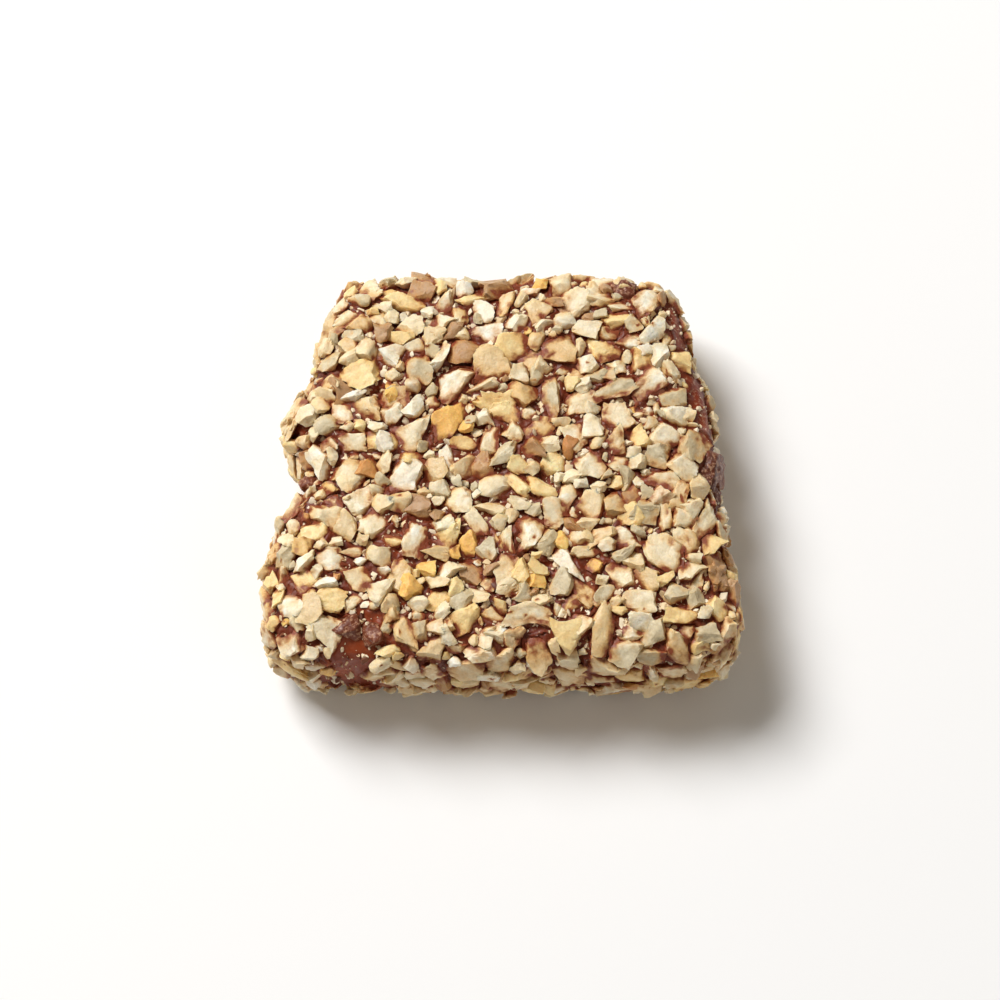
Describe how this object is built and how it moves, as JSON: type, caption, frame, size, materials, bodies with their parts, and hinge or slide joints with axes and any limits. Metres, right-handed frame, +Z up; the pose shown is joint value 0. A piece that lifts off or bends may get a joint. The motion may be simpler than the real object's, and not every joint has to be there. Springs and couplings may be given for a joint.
{
  "type": "english toffee square",
  "caption": "Uneven rounded square of english toffee, coated in milk chocolate and rolled in chopped nuts, to be picked up and eaten.",
  "frame": {"origin": "middle of the underside, on the flat worn face of the nut chip that the piece rests on", "axes": "+Z up out of the top face; +X to the right and +Y to the back as seen in the picture, with the wider end of the square at the front, towards -Y"},
  "size_m": [0.0431, 0.0386, 0.0131],
  "materials": {
    "chopped_nuts": "satin",
    "milk_chocolate": "satin"
  },
  "bodies": {
    "root": {"toffee_square": "chopped_nuts"}
  },
  "joints": []
}
